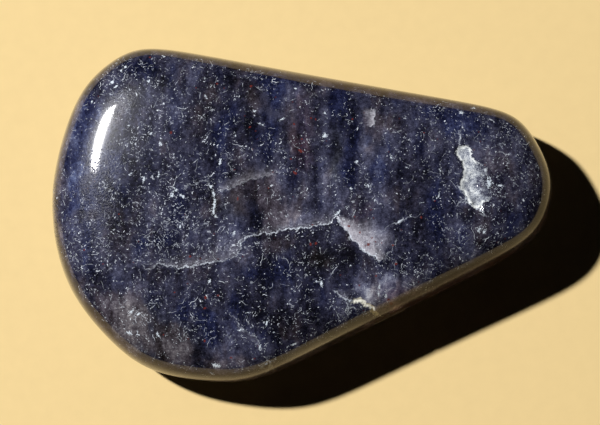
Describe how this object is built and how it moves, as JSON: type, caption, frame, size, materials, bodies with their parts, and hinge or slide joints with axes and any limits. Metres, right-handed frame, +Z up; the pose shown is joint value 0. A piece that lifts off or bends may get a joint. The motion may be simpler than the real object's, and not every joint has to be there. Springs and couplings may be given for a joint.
{
  "type": "tumbled iolite stone",
  "caption": "Flat pear-shaped tumbled iolite stone, deep blue-violet and polished, with pale cracks, a bruise and a chipped edge; lies on its worn base as a specimen or decoration.",
  "frame": {"origin": "on the surface that the stone rests on, under the middle of its bounding box", "axes": "+Z up, out of the crown; +X along the stone, from its broad end to its narrow end; +Y towards the flank that lies furthest from the chipped edge"},
  "size_m": [0.0402, 0.0276, 0.0098],
  "materials": {
    "iolite": "tumbled polish on dark blue-violet iolite, with pale flecks, cloudy veils, white cracks and a rough pale bruise"
  },
  "bodies": {
    "root": {"iolite_stone": "iolite"}
  },
  "joints": []
}
